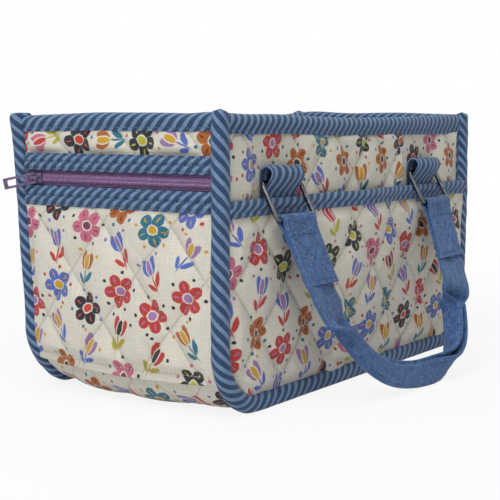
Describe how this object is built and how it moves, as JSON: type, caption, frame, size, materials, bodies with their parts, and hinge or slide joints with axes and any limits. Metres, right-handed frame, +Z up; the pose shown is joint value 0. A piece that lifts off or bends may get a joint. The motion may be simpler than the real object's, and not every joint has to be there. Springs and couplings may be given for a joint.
{
  "type": "knitting bag",
  "caption": "Open-top quilted knitting bag with bound seams, slip pockets on the long sides, a zip pocket on one end and strap handles hung from wire rings.",
  "frame": {"origin": "centre of the base's underside, on the surface that the bag stands on", "axes": "+X along the bag away from the zip end, -Y out of the front panel, +Z up"},
  "size_m": [0.3926, 0.3228, 0.2124],
  "materials": {
    "printed_cotton": "quilted printed cotton canvas",
    "lining": "plain woven cotton",
    "striped_binding": "bias-cut striped cotton",
    "chambray": "slubby chambray strap",
    "zip_tape": "woven polyester tape",
    "zip_coil": "nylon coil",
    "zip_enamel": "enamelled die-cast zinc",
    "ring_metal": "gunmetal plated wire",
    "base_board": "plain stiffener sheet"
  },
  "bodies": {
    "bag": {"front_panel": "printed_cotton", "back_panel": "printed_cotton", "gusset": "printed_cotton", "front_lining": "lining", "back_lining": "lining", "gusset_lining": "lining", "base_board": "base_board", "front_seam_binding": "striped_binding", "back_seam_binding": "striped_binding", "front_rim_binding": "striped_binding", "back_rim_binding": "striped_binding", "left_rim_binding": "striped_binding", "right_rim_binding": "striped_binding", "front_pocket": "printed_cotton", "back_pocket": "printed_cotton", "front_pocket_binding": "striped_binding", "back_pocket_binding": "striped_binding", "zip_pocket_panel": "printed_cotton", "zip_band_upper": "striped_binding", "zip_band_lower": "striped_binding", "zip_tape_upper": "zip_tape", "zip_tape_lower": "zip_tape", "zip_coil_upper": "zip_coil", "zip_coil_lower": "zip_coil", "front_left_tab": "striped_binding", "front_right_tab": "striped_binding", "back_left_tab": "striped_binding", "back_right_tab": "striped_binding"},
    "front_rings": {"front_left_ring": "ring_metal", "front_right_ring": "ring_metal"},
    "front_handle": {"front_handle": "chambray"},
    "back_rings": {"back_left_ring": "ring_metal", "back_right_ring": "ring_metal"},
    "back_handle": {"back_handle": "chambray"},
    "zip_slider": {"zip_slider": "zip_enamel"},
    "zip_pull": {"zip_pull": "zip_enamel"}
  },
  "joints": [
    {"name": "front_ring_swing", "type": "hinge", "parent": "bag", "child": "front_rings", "pos_m": [0, -0.0939, 0.1616], "axis": [-1, 0, 0], "range_deg": [0, 135]},
    {"name": "front_handle_swing", "type": "hinge", "parent": "front_rings", "child": "front_handle", "pos_m": [0, -0.10806, 0.13561], "axis": [-1, 0, 0], "range_deg": [-20, 38]},
    {"name": "back_ring_swing", "type": "hinge", "parent": "bag", "child": "back_rings", "pos_m": [0, 0.0939, 0.1616], "axis": [1, 0, 0], "range_deg": [0, 135]},
    {"name": "back_handle_swing", "type": "hinge", "parent": "back_rings", "child": "back_handle", "pos_m": [0, 0.10806, 0.13561], "axis": [1, 0, 0], "range_deg": [-20, 38]},
    {"name": "zip_slide", "type": "slide", "parent": "bag", "child": "zip_slider", "axis": [0, -1, 0], "range_m": [0, 0.1509]},
    {"name": "zip_pull_swing", "type": "hinge", "parent": "zip_slider", "child": "zip_pull", "pos_m": [-0.1932, 0.07545, 0.1628], "axis": [-0.0711, 0.1954, 0.9781], "range_deg": [0, 140]}
  ]
}
